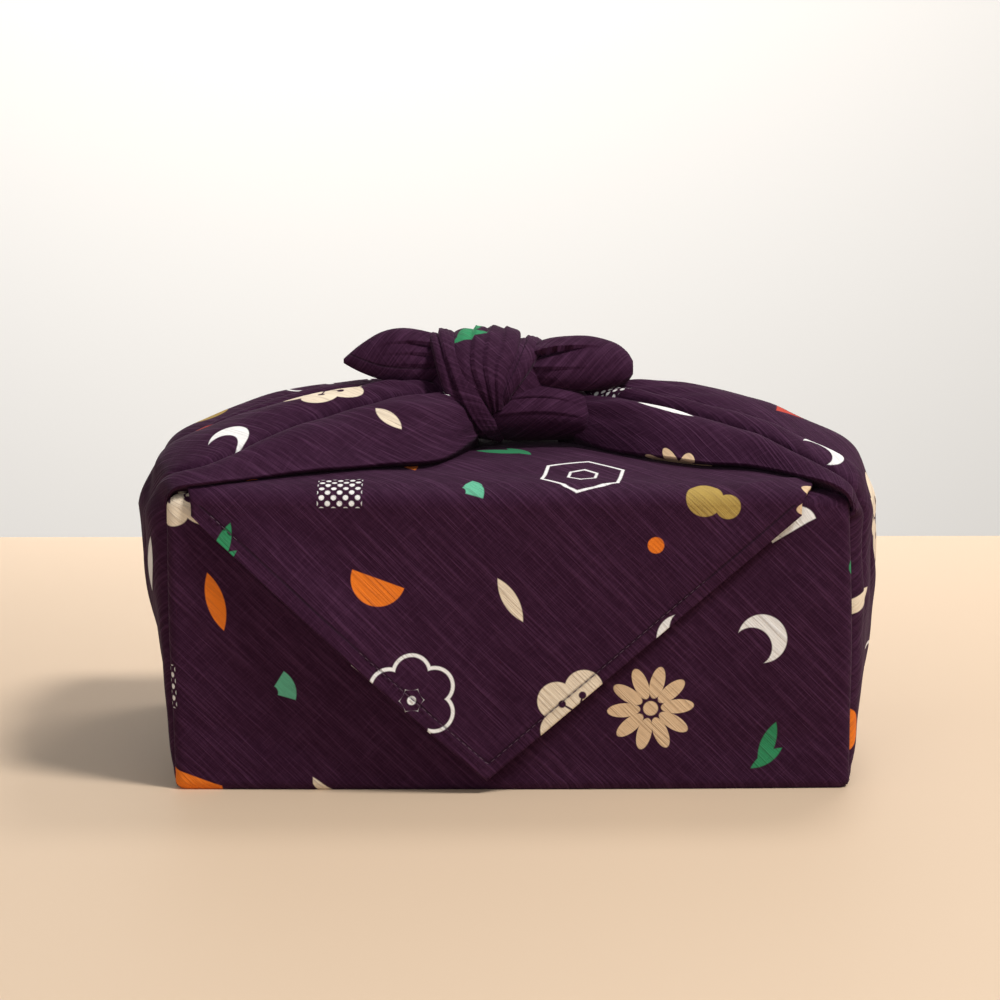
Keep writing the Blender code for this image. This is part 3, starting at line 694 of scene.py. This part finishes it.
# The gathered side corners
# The left and right corners of the square rise from under the box, cover its two ends, and are
# gathered over the top edges into soft rolls of overlapping folds that run in to the knot.
EDGE_LIFT = 0.0023
CREST_FULLNESS = 2.6
SIDE_COLUMNS = 221
CREASE_DEPTH_MM = 6.5
TAIL_STEPS = 12
CREASE_WIDTH = 0.012
FULL_ROLL_WIDTH = 0.13
LEAD_IN = 0.011
EDGE_TURN = 0.0003
TURNED_UNDER = [
    {"reach": 0.0010, "low": 0.0010},
    {"reach": 0.0040, "low": 0.0012},
    {"reach": 0.0110, "low": 0.0090},
]
LEFT_TAIL = [
    {"front": (-124.6, -71.3), "crest": (-135.5, 4, 108.5), "back": (-125, 71), "edge": 107.0},
    {"front": (-120.8, -74.6), "crest": (-129, 5, 118.5), "back": (-119.5, 72.5), "edge": 113.0},
    {"front": (-108, -74), "crest": (-113, 5, 126), "back": (-105, 66), "edge": 115.2},
    {"front": (-92, -66), "crest": (-93, 5, 132.5), "back": (-85, 55)},
    {"front": (-71, -60), "crest": (-70, 3, 137.5), "back": (-66, 43)},
    {"front": (-48, -54), "crest": (-48, -4, 140), "back": (-46, 32)},
    {"front": (-26, -48), "crest": (-29, -9, 139), "back": (-30, 20)},
    {"front": (-11, -23), "crest": (-11, -5, 136), "back": (-11, 10), "edge": 125.5},
]
RIGHT_TAIL = [
    {"front": (125.6, -73.6), "crest": (136.5, 2, 108), "back": (125.5, 71), "edge": 105.0},
    {"front": (121.8, -75.6), "crest": (130, 3, 117.5), "back": (120.5, 72.5), "edge": 111.8},
    {"front": (110.5, -68), "crest": (113, 4, 125.5), "back": (106, 66)},
    {"front": (93.5, -53), "crest": (93, 5, 133), "back": (86, 56)},
    {"front": (72, -48), "crest": (71, 3, 137.5), "back": (66, 44)},
    {"front": (52, -39), "crest": (51, 0, 139), "back": (46, 32)},
    {"front": (36, -26), "crest": (36, -2, 138), "back": (34, 20)},
    {"front": (20, -13), "crest": (20, -1, 136), "back": (20, 10), "edge": 127.5},
]
# Soft rolls along a corner, from its front edge back: where the crease behind each one is across the
# corner at four places along it, and its height in millimetres
LEFT_ROLLS = [
    {"wall": 0.16, "shoulder": 0.085, "halfway": 0.195, "knot": 0.50, "height": 8.0},
    {"wall": 0.40, "shoulder": 0.380, "halfway": 0.400, "knot": 0.64, "height": 7.0},
    {"wall": 0.50, "shoulder": 0.460, "halfway": 0.560, "knot": 0.72, "height": 5.5},
    {"wall": 0.66, "shoulder": 0.670, "halfway": 0.710, "knot": 0.82, "height": 5.5},
    {"wall": 0.86, "shoulder": 0.860, "halfway": 0.860, "knot": 0.90, "height": 3.0},
    {"wall": 1.00, "shoulder": 1.000, "halfway": 1.000, "knot": 1.00, "height": 2.5},
]
RIGHT_ROLLS = [
    {"wall": 0.06, "shoulder": 0.085, "halfway": 0.190, "knot": 0.42, "height": 7.5},
    {"wall": 0.16, "shoulder": 0.225, "halfway": 0.290, "knot": 0.56, "height": 6.0},
    {"wall": 0.50, "shoulder": 0.560, "halfway": 0.560, "knot": 0.68, "height": 6.5},
    {"wall": 0.70, "shoulder": 0.700, "halfway": 0.720, "knot": 0.80, "height": 4.5},
    {"wall": 0.87, "shoulder": 0.860, "halfway": 0.860, "knot": 0.90, "height": 3.0},
    {"wall": 1.00, "shoulder": 1.000, "halfway": 1.000, "knot": 1.00, "height": 2.5},
]


def side_row(height, side):
    """The left (side -1) or right (side 1) end of the wall at one height, from front to back."""
    row = wall_row(height)
    half_depth = HALF_DEPTH - row["inset"] - CREASE_SETBACK
    even = np.linspace(0, 1, SIDE_COLUMNS)
    across = 0.65 * even + 0.35 * (1 - np.cos(even * math.pi)) / 2
    y = -half_depth + 2 * half_depth * across
    risen = 1 - np.exp(-(half_depth - np.abs(y)) / FOLD_ROUNDING)
    stand = ((CREASE_DEPTH + FOLD_STAND) * risen - CREASE_DEPTH) * row["crease"]
    bulge = row["right" if side > 0 else "left"] * np.sin(math.pi * across) ** 0.7
    x = side * (HALF_WIDTH - row["inset"] + stand + bulge) + row["lean"]
    return np.stack([x, y, np.full(SIDE_COLUMNS, height)], axis=1)


def edge_place(place, height):
    x, y = np.array(place) * MILLIMETRE
    if height is None:
        return np.array([x, y, top_height(x, y) + EDGE_LIFT])
    return np.array([x, y, height * MILLIMETRE])


def through_stations(stations, steps):
    """Rows on a smooth surface through the stations, of which the first only gives the direction."""
    held = list(stations) + [stations[-1]]
    rows = []
    for before, begin, end, after in zip(held, held[1:], held[2:], held[3:]):
        for t in np.linspace(0, 1, steps + 1)[1:]:
            slope = (end - before) * t
            bend = (2 * before - 5 * begin + 4 * end - after) * t**2
            twist = (3 * begin - before - 3 * end + after) * t**3
            rows.append(0.5 * (2 * begin + slope + bend + twist))
    return rows


def rolls_height(across, place, rolls):
    """Rolls side by side, steep at their lower side and level at their top, with a sharp crease
    between them."""
    height = np.zeros((len(place), len(across)))
    begin = np.zeros(len(place))
    for roll in rolls:
        creases = [roll["wall"], roll["wall"], roll["shoulder"], roll["halfway"], roll["knot"]]
        end = softly(place, (-1, 0, 0.375, 0.625, 1), creases)
        width = (end - begin)[:, None]
        share = (across - begin[:, None]) / width
        inside = np.clip(share, 0, 1)
        full = roll["height"] * np.minimum(1, width / FULL_ROLL_WIDTH)
        swell = (1 - (1 - inside) ** 2.6) * (1 - inside**4)
        height += np.where((share >= 0) & (share < 1), full * swell, 0.0)
        if end[0] < 0.99:
            height -= CREASE_DEPTH_MM * np.exp(-(((across - end[:, None]) / CREASE_WIDTH) ** 2))
        begin = end
    return height


def side_corner(name, side, table, rolls, creases, seed):
    """A side corner of the square as one sheet, from under the box to inside the knot."""
    wall_heights = low_heights[::-1] + list(np.linspace(0.009, WALL_TOP, 44))
    wall = [side_row(height, side) for height in wall_heights]
    wall[0][:, 0] -= side * 0.003
    last = wall[-1]
    across = (last[:, 1] - last[0, 1]) / (last[-1, 1] - last[0, 1])
    arch = 1 - np.abs(2 * across - 1) ** CREST_FULLNESS
    stations = [side_row(WALL_TOP - LEAD_IN, side), last]
    for row in table:
        front = edge_place(row["front"], row.get("edge"))
        back = edge_place(row["back"], row.get("edge"))
        crest = np.array(row["crest"]) * MILLIMETRE
        line = front + (back - front) * across[:, None]
        stations.append(line + (crest - (front + back) / 2) * arch[:, None])
    points = np.concatenate([np.array(wall), np.array(through_stations(stations, TAIL_STEPS))])

    # Place along the corner: 0 at the top of the wall and 1 inside the knot
    tail_place = np.arange(1, len(points) - len(wall) + 1) / (len(table) * TAIL_STEPS)
    place = np.concatenate([(np.array(wall_heights) - WALL_TOP) / 0.060, tail_place])
    share = softly(place, (-1, -0.5, 0, 0.25, 0.5, 0.75, 0.9, 1), (0, 0.10, 0.5, 0.85, 1, 1, 0.95, 0.5))
    height = rolls_height(across, place, rolls) * share[:, None] * arch**0.35
    gathers = np.sin(across * math.tau * 13 + 1.7 * np.sin(across * 17))
    height += 0.5 * gathers * arch * eased((place - 0.45) / 0.5)[:, None]
    ahead = np.linalg.norm(np.diff(points, axis=0), axis=2).mean(axis=1)
    run = side * (HALF_WIDTH + np.concatenate([[0.0], np.cumsum(ahead)]))
    width = DEPTH * (1 + 0.35 * eased(place))
    flat = np.stack([run[:, None] + 0 * across, (across - 0.5) * width[:, None]], axis=2)
    height = height * MILLIMETRE + crease_height(flat, creases)
    loose = slack_height(flat, seed, 0.045, 0.0009) + slack_height(flat, seed + 1, 0.018, 0.0004)
    height += loose * np.clip((points[..., 2] - 0.002) / 0.02, 0, 1)
    upward = np.array([0.0, 0.0, 1.0]) * (0.6 * eased(place / 0.25))[:, None, None]
    lift = -side * outward(points) + upward
    lift /= np.linalg.norm(lift, axis=2, keepdims=True)
    points = points + lift * height[..., None]

    # Both long edges turn under, where they lie on top, so that no raw edge shows
    under = eased((place + 0.1) / 0.3)
    for turn in TURNED_UNDER:
        for column, inward in ((0, 1), (-1, -1)):
            turned = points[:, column].copy()
            turned[:, 1] += inward * (EDGE_TURN + turn["reach"] * under)
            turned[:, 2] -= turn["low"] * under
            beside = flat[:, column] - np.array([0.0, inward * (EDGE_TURN + turn["reach"])])
            outside = 0 if column == 0 else points.shape[1]
            points = np.insert(points, outside, turned, axis=1)
            flat = np.insert(flat, outside, beside, axis=1)
    if side > 0:
        points = points[:, ::-1]
        flat = flat[:, ::-1]
    piece = sheet_object(name, points, flat, np.full(points.shape[:2], 1.0), THICKNESS)
    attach(piece, "root")
    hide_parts("furoshiki_cloth")


# Drawn creases on the flat cloth, in millimetres
LEFT_CREASES = [
    {"from": (-230, -52), "to": (-262, -10), "wide": 4.0, "height": -1.0},
    {"from": (-150, -25), "to": (-238, -48), "wide": 4.5, "height": 0.9},
    {"from": (-140, 20), "to": (-235, 5), "wide": 5.0, "height": 0.9},
]
RIGHT_CREASES = [
    {"from": (150, -30), "to": (240, -58), "wide": 4.0, "height": 0.9},
    {"from": (165, 0), "to": (245, -20), "wide": 4.5, "height": -0.9},
    {"from": (150, 35), "to": (240, 20), "wide": 5.0, "height": 0.9},
]
side_corner("left_corner_of_cloth", -1, LEFT_TAIL, LEFT_ROLLS, LEFT_CREASES, 21)
side_corner("right_corner_of_cloth", 1, RIGHT_TAIL, RIGHT_ROLLS, RIGHT_CREASES, 35)

# The knot
# The two rolled corners cross and are tied once over: wide wraps of the same cloth lie over each
# other and are drawn into the pinch at the front, and both ends stick out as short ears. All sizes
# in its tables are in millimetres.
KNOT_AXIS_HEIGHT = 0.140
STRAND_COLUMNS = 72
STRAND_STEPS = 12
DROP_WIDTH = 0.012
# Centre line, half-width and half-thickness of each wrap, from its crest down the front. The back is
# the same with Y reversed.
LEFT_WRAP = [
    {"x": -25.0, "y": 0.0, "z": 160.6, "wide": 5.4, "thick": 3.4},
    {"x": -23.5, "y": -10.0, "z": 157.5, "wide": 5.4, "thick": 3.4},
    {"x": -20.5, "y": -18.0, "z": 149.0, "wide": 6.0, "thick": 3.4},
    {"x": -15.5, "y": -22.5, "z": 138.5, "wide": 6.2, "thick": 3.4},
    {"x": -9.0, "y": -21.0, "z": 129.0, "wide": 5.0, "thick": 3.0},
    {"x": -3.0, "y": -13.0, "z": 124.0, "wide": 3.5, "thick": 2.5},
]
MIDDLE_WRAP = [
    {"x": -7.5, "y": 0.0, "z": 161.8, "wide": 13.0, "thick": 3.4},
    {"x": -8.2, "y": -11.0, "z": 158.5, "wide": 12.8, "thick": 3.4},
    {"x": -9.0, "y": -18.5, "z": 150.5, "wide": 11.0, "thick": 3.6},
    {"x": -7.0, "y": -22.0, "z": 142.5, "wide": 6.8, "thick": 3.2},
    {"x": -5.0, "y": -21.0, "z": 134.5, "wide": 3.6, "thick": 2.6},
]
RIGHT_WRAP = [
    {"x": 9.0, "y": 0.0, "z": 158.0, "wide": 5.2, "thick": 3.2},
    {"x": 7.0, "y": -11.0, "z": 155.0, "wide": 5.0, "thick": 3.4},
    {"x": 3.0, "y": -18.0, "z": 148.5, "wide": 4.2, "thick": 3.4},
    {"x": -1.0, "y": -21.0, "z": 141.5, "wide": 3.0, "thick": 2.8},
    {"x": -3.0, "y": -17.5, "z": 134.0, "wide": 2.4, "thick": 2.4},
]
# Sharp folds along a wrap: place across it at its crest and at its ends, rise, height, tuck and drop
LEFT_WRAP_FOLDS = [
    {"crest": 0.30, "end": 0.15, "rise": 0.45, "height": 0.7, "tuck": 0.30, "drop": 1.9},
]
MIDDLE_WRAP_FOLDS = [
    {"crest": -0.55, "end": -0.45, "rise": 0.20, "height": 0.5, "tuck": 0.14, "drop": 0.9},
    {"crest": -0.10, "end": -0.05, "rise": 0.25, "height": 0.8, "tuck": 0.12, "drop": 1.7},
    {"crest": 0.38, "end": 0.40, "rise": 0.22, "height": 0.7, "tuck": 0.14, "drop": 1.3},
]
RIGHT_WRAP_FOLDS = [
    {"crest": 0.10, "end": 0.05, "rise": 0.40, "height": 0.5, "tuck": 0.25, "drop": 1.2},
]


def sharp_fold(away, fold):
    """A fold that rises to a sharp top and drops into a tuck right behind it."""
    before = fold["height"] * np.exp(np.minimum(away, 0) / fold["rise"])
    behind = -fold["drop"] * np.exp(-np.maximum(away - DROP_WIDTH, 0) / fold["tuck"])
    dropped = eased(away / DROP_WIDTH)
    return before * (1 - dropped) + behind * dropped


def finer(table, keys, steps):
    """Rows of numbers on smooth lines through a table's rows."""
    places = np.arange(len(table))
    at = np.linspace(0, len(table) - 1, (len(table) - 1) * steps + 1)
    return np.stack([softly(at, places, [row[key] for row in table]) for key in keys], axis=1)


def roll_object(name, rings, run, girth, edge, cut_from):
    """A closed roll of cloth through rings of points, from one place of the flat cloth."""
    closed = np.concatenate([rings, rings[:, :1]], axis=1)
    around = np.linspace(-0.5, 0.5, closed.shape[1])
    across = girth[:, None] * around + cut_from[0] * MILLIMETRE
    along = run - run.mean() + cut_from[1] * MILLIMETRE
    flat = np.stack([across, along[:, None] + 0 * around], axis=2)
    edge = np.concatenate([edge, edge[:, :1]], axis=1)
    piece = sheet_object(name, closed, flat, edge, 0.0)
    shell = bmesh.new()
    shell.from_mesh(piece.data)
    bmesh.ops.remove_doubles(shell, verts=shell.verts[:], dist=1e-6)
    bmesh.ops.holes_fill(shell, edges=[edge for edge in shell.edges if edge.is_boundary], sides=0)
    bmesh.ops.recalc_face_normals(shell, faces=shell.faces[:])
    shell.to_mesh(piece.data)
    shell.free()
    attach(piece, "root")
    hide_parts("furoshiki_cloth")
    # Laid on itself in two layers, so that its flat width is half of its girth
    flat_size = (max(0.0101, float(girth.mean()) / 2), float(np.abs(run[-1] - run[0])))


def wrap_over_knot(name, table, folds, cut_from):
    """A wrap that lies over the knot like a saddle, with its face away from the knot's axis."""
    whole = [dict(row, y=-row["y"]) for row in table[:0:-1]] + table
    values = finer(whole, ("x", "y", "z", "wide", "thick"), STRAND_STEPS) * MILLIMETRE
    centres = values[:, :3]
    ahead = np.gradient(centres, axis=0)
    ahead /= np.linalg.norm(ahead, axis=1)[:, None]
    away = np.stack([np.zeros(len(values)), centres[:, 1], centres[:, 2] - KNOT_AXIS_HEIGHT], axis=1)
    aside = np.cross(ahead, away)
    aside /= np.linalg.norm(aside, axis=1)[:, None]
    away = np.cross(aside, ahead)
    turn = np.linspace(-0.25, 0.75, STRAND_COLUMNS, endpoint=False) * math.tau
    across, out = np.cos(turn), np.sin(turn)
    full = np.sign(out) * np.abs(out) ** 0.7
    from_crest = np.abs(np.linspace(-1, 1, len(values)))[:, None]
    raised = np.zeros((len(values), STRAND_COLUMNS))
    for fold in folds:
        at = fold["crest"] + (fold["end"] - fold["crest"]) * from_crest
        sizes = dict(fold, rise=fold["rise"] / 2, tuck=fold["tuck"] / 2)
        raised += sharp_fold((across - at) * 0.5, sizes)
    raised += 0.10 * np.sin(across * 19 + 2 * np.sin(from_crest * 5))
    raised *= MILLIMETRE * np.clip(out, 0, 1) ** 0.6
    rings = centres[:, None] + aside[:, None] * (values[:, 3:4] * across)[..., None]
    rings = rings + away[:, None] * (values[:, 4:5] * full + raised)[..., None]
    run = np.concatenate([[0.0], np.cumsum(np.linalg.norm(np.diff(centres, axis=0), axis=1))])
    girth = math.pi * (values[:, 3] + values[:, 4])
    roll_object(name, rings, run, girth, np.full(rings.shape[:2], 1.0), cut_from)


wrap_over_knot("knot_left_wrap", LEFT_WRAP, LEFT_WRAP_FOLDS, (95, 386))
wrap_over_knot("knot_middle_wrap", MIDDLE_WRAP, MIDDLE_WRAP_FOLDS, (268, 128))
wrap_over_knot("knot_right_wrap", RIGHT_WRAP, RIGHT_WRAP_FOLDS, (199, 202))

# The roll under the wraps on the right, and the two ears: centre, half-depth and half-height of each
# upright section along X, and how deep the fold in its front is there
EAR_LEAN_DEG = 26.0
COLLAR = [
    {"x": -9.0, "y": -6.0, "z": 131.0, "deep": 12.5, "tall": 5.0, "fold": 0.0},
    {"x": -5.0, "y": -5.0, "z": 132.0, "deep": 17.5, "tall": 9.5, "fold": 0.2},
    {"x": 2.0, "y": -3.5, "z": 133.0, "deep": 20.5, "tall": 12.0, "fold": 0.5},
    {"x": 10.0, "y": -2.5, "z": 133.5, "deep": 21.5, "tall": 12.6, "fold": 0.6},
    {"x": 18.0, "y": -2.0, "z": 133.2, "deep": 21.5, "tall": 12.2, "fold": 0.5},
    {"x": 25.0, "y": -2.0, "z": 132.2, "deep": 21.0, "tall": 11.0, "fold": 0.3},
    {"x": 30.0, "y": -2.0, "z": 131.0, "deep": 19.5, "tall": 9.6, "fold": 0.1},
    {"x": 32.5, "y": -2.0, "z": 130.8, "deep": 15.0, "tall": 6.5, "fold": 0.0},
]
LEFT_EAR = [
    {"x": -12.0, "y": 0.0, "z": 148.0, "deep": 4.5, "tall": 6.0, "fold": 0.2},
    {"x": -23.0, "y": -3.0, "z": 152.5, "deep": 6.0, "tall": 8.6, "fold": 1.0},
    {"x": -32.0, "y": -4.0, "z": 153.6, "deep": 5.6, "tall": 10.8, "fold": 0.75},
    {"x": -41.0, "y": -4.0, "z": 154.3, "deep": 5.0, "tall": 11.3, "fold": 0.25},
    {"x": -49.0, "y": -3.0, "z": 154.0, "deep": 3.8, "tall": 9.8, "fold": 0.06},
    {"x": -56.5, "y": -2.0, "z": 153.0, "deep": 2.6, "tall": 6.0, "fold": 0.0},
    {"x": -61.0, "y": -1.0, "z": 152.2, "deep": 1.8, "tall": 2.9, "fold": 0.0},
    {"x": -63.5, "y": -1.0, "z": 151.8, "deep": 0.9, "tall": 0.9, "fold": 0.0},
]
RIGHT_EAR = [
    {"x": -2.0, "y": -1.0, "z": 147.0, "deep": 4.5, "tall": 5.0, "fold": 0.0},
    {"x": 7.0, "y": -6.0, "z": 150.0, "deep": 6.5, "tall": 7.5, "fold": 0.7},
    {"x": 14.5, "y": -8.5, "z": 151.2, "deep": 7.8, "tall": 9.8, "fold": 1.0},
    {"x": 21.5, "y": -8.5, "z": 151.4, "deep": 8.0, "tall": 10.9, "fold": 0.7},
    {"x": 32.0, "y": -7.0, "z": 151.4, "deep": 7.2, "tall": 11.0, "fold": 0.1},
    {"x": 41.5, "y": -6.0, "z": 150.8, "deep": 6.0, "tall": 9.0, "fold": 0.0},
    {"x": 46.5, "y": -6.0, "z": 150.0, "deep": 4.4, "tall": 6.2, "fold": 0.0},
    {"x": 48.9, "y": -6.0, "z": 149.6, "deep": 2.2, "tall": 2.8, "fold": 0.0},
]
# Folds in the front of a roll: height on it from -1 to 1 at both ends, rise, height, tuck and drop
COLLAR_FOLDS = [
    {"from": 0.55, "to": 0.50, "rise": -0.20, "height": 0.8, "tuck": -0.16, "drop": 1.6},
    {"from": 0.10, "to": 0.05, "rise": -0.25, "height": 0.6, "tuck": -0.16, "drop": 1.0},
]
LEFT_EAR_FOLDS = [
    {"from": 0.45, "to": 0.20, "rise": -0.20, "height": 0.8, "tuck": -0.30, "drop": 2.6},
    {"from": 0.00, "to": -0.20, "rise": -0.16, "height": 0.6, "tuck": -0.12, "drop": 1.5},
    {"from": -0.40, "to": -0.60, "rise": -0.14, "height": 0.4, "tuck": -0.12, "drop": 1.2},
]
RIGHT_EAR_FOLDS = [
    {"from": 0.20, "to": 0.62, "rise": -0.22, "height": 1.8, "tuck": -0.30, "drop": 5.8},
    {"from": -0.40, "to": -0.35, "rise": -0.16, "height": 0.5, "tuck": -0.14, "drop": 1.1},
]


def roll_along_x(name, table, lean_deg, pointed, folds, hemmed, cut_from):
    """A soft body of folded cloth through upright sections that run along X."""
    values = finer(table, ("x", "y", "z", "deep", "tall", "fold"), STRAND_STEPS)
    lean = math.radians(lean_deg)
    up = np.array([0.0, math.sin(lean), math.cos(lean)])
    out = np.array([0.0, -math.cos(lean), math.sin(lean)])
    turn = np.linspace(-0.5, 0.5, STRAND_COLUMNS * 2, endpoint=False) * math.tau
    rise, front = np.sin(turn), np.cos(turn)
    deep = values[:, 3:4] * np.sign(front) * np.abs(front) ** pointed
    along = np.linspace(0, 1, len(values))[:, None]
    for fold in folds:
        at = fold["from"] + (fold["to"] - fold["from"]) * along
        sizes = dict(fold, rise=-fold["rise"] / 2, tuck=-fold["tuck"] / 2)
        raised = sharp_fold((at - rise) * 0.5, sizes)
        deep = deep + raised * values[:, 5:6] * np.clip(front, 0, 1) ** 0.6
    ripple = np.sin(rise * 15 + 3 * along) * np.clip(1 - along * 1.6, 0, 1)
    deep = deep + 0.35 * ripple * np.clip(front, 0, 1) * values[:, 5:6]
    rings = values[:, None, :3] + up * (values[:, 4:5] * rise)[..., None] + out * deep[..., None]
    edge = np.full(deep.shape, 1.0)
    if hemmed:
        edge = (1 + rise) * values[:, 4:5] * MILLIMETRE + np.where(front > 0, 0.0, 1.0)
    run = values[:, 0] * MILLIMETRE
    girth = (values[:, 3] + values[:, 4]) * math.pi * 0.95 * MILLIMETRE
    roll_object(name, rings * MILLIMETRE, run, girth, edge, cut_from)


roll_along_x("knot_collar", COLLAR, 0.0, 1.0, COLLAR_FOLDS, False, (107, 429))
roll_along_x("left_ear", LEFT_EAR, EAR_LEAN_DEG, 1.3, LEFT_EAR_FOLDS, True, (108, 431))
roll_along_x("right_ear", RIGHT_EAR, EAR_LEAN_DEG, 1.0, RIGHT_EAR_FOLDS, False, (208, 207))

# The hidden turns inside the knot, as one round roll of the same cloth
HEART = {"x": -5.0, "z": 141.0, "long": 26.2, "deep": 21.0, "tall": 20.2, "round": 20.5}
heart_turn = np.linspace(0, math.tau, 64, endpoint=False)
heart_tilt = np.linspace(0.04, math.pi - 0.04, 34)
heart_x = HEART["x"] - HEART["long"] * np.cos(heart_tilt)[:, None] + 0 * heart_turn
heart_y = HEART["deep"] * np.sin(heart_tilt)[:, None] * np.cos(heart_turn)
heart_z = HEART["z"] + HEART["tall"] * np.sin(heart_tilt)[:, None] * np.sin(heart_turn)
heart = np.stack([heart_x, heart_y, heart_z], axis=2) * MILLIMETRE
heart_girth = math.tau * HEART["round"] * MILLIMETRE * np.sin(heart_tilt)
heart_edge = np.full(heart_x.shape, 1.0)
roll_object("knot_heart", heart, heart_x[:, 0] * MILLIMETRE, heart_girth, heart_edge, (108, 431))

# The table and the wall behind it
# Plain and pale, and not part of the object. The wall stands well behind the table's far edge, so
# the parcel's back can be seen too.
TABLE_END = 0.484
WALL_Y = 2.6


def stage_plane(name, corners, colour, roughness):
    mesh = bpy.data.meshes.new(name)
    mesh.from_pydata(corners, [], [(0, 1, 2, 3)])
    paint = bpy.data.materials.new(name)
    paint.use_nodes = True
    finish = paint.node_tree.nodes["Principled BSDF"]
    finish.inputs["Base Color"].default_value = colour
    finish.inputs["Roughness"].default_value = roughness
    mesh.materials.append(paint)
    plane = bpy.data.objects.new(name, mesh)
    bpy.context.scene.collection.objects.link(plane)


table_corners = [(-3, -3, 0), (3, -3, 0), (3, TABLE_END, 0), (-3, TABLE_END, 0)]
wall_corners = [(-4, WALL_Y, -1), (4, WALL_Y, -1), (4, WALL_Y, 4), (-4, WALL_Y, 4)]
stage_plane("table", table_corners, (0.66, 0.50, 0.355, 1.0), 0.6)
stage_plane("wall", wall_corners, (0.90, 0.88, 0.85, 1.0), 0.9)
